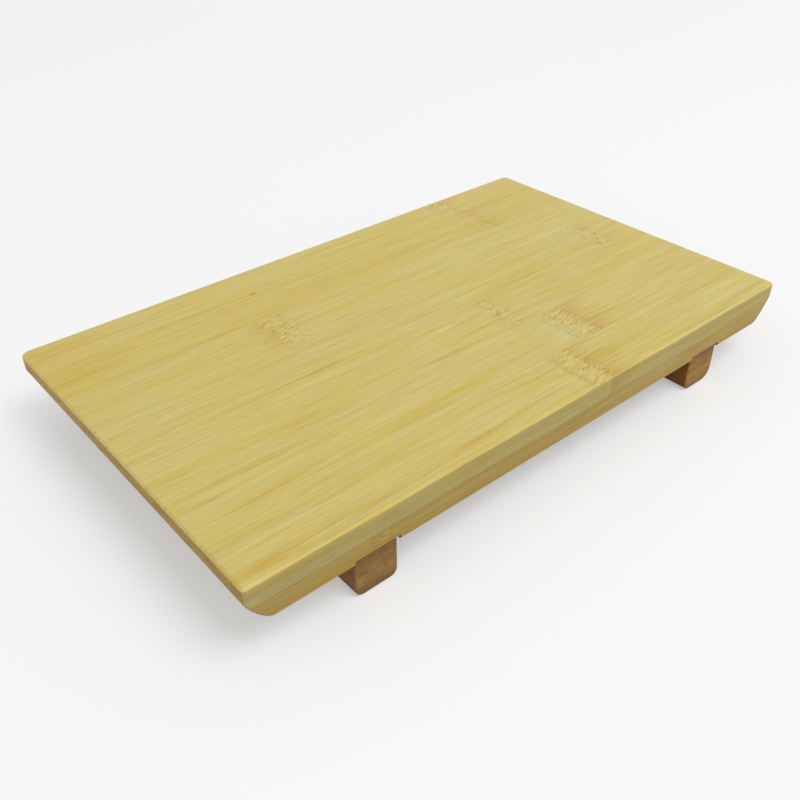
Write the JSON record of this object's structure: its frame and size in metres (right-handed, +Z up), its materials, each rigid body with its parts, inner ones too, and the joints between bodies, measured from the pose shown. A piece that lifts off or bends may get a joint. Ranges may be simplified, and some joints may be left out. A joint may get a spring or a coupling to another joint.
{
  "type": "sushi geta board",
  "caption": "Oblong laminated bamboo serving board with undercut ends, raised on two cross feet that are housed across its underside.",
  "frame": {"origin": "on the table, below the middle of the board", "axes": "+X along the grain towards the right end, +Y from the front long side to the back one, +Z up"},
  "size_m": [0.27, 0.1624, 0.032],
  "materials": {
    "board_bamboo": "sanded flat-pressed bamboo with a thin satin oil or lacquer",
    "foot_bamboo": "sanded browner bamboo with a thin satin oil or lacquer"
  },
  "bodies": {
    "root": {"upper_strip_1": "board_bamboo", "upper_strip_2": "board_bamboo", "upper_strip_3": "board_bamboo", "upper_strip_4": "board_bamboo", "upper_strip_5": "board_bamboo", "upper_strip_6": "board_bamboo", "upper_strip_7": "board_bamboo", "lower_strip_1": "board_bamboo", "lower_strip_2": "board_bamboo", "lower_strip_3": "board_bamboo", "lower_strip_4": "board_bamboo", "lower_strip_5": "board_bamboo", "lower_strip_6": "board_bamboo", "lower_strip_7": "board_bamboo", "left_foot_upper_ply": "foot_bamboo", "left_foot_lower_ply": "foot_bamboo", "right_foot_upper_ply": "foot_bamboo", "right_foot_lower_ply": "foot_bamboo"}
  },
  "joints": []
}
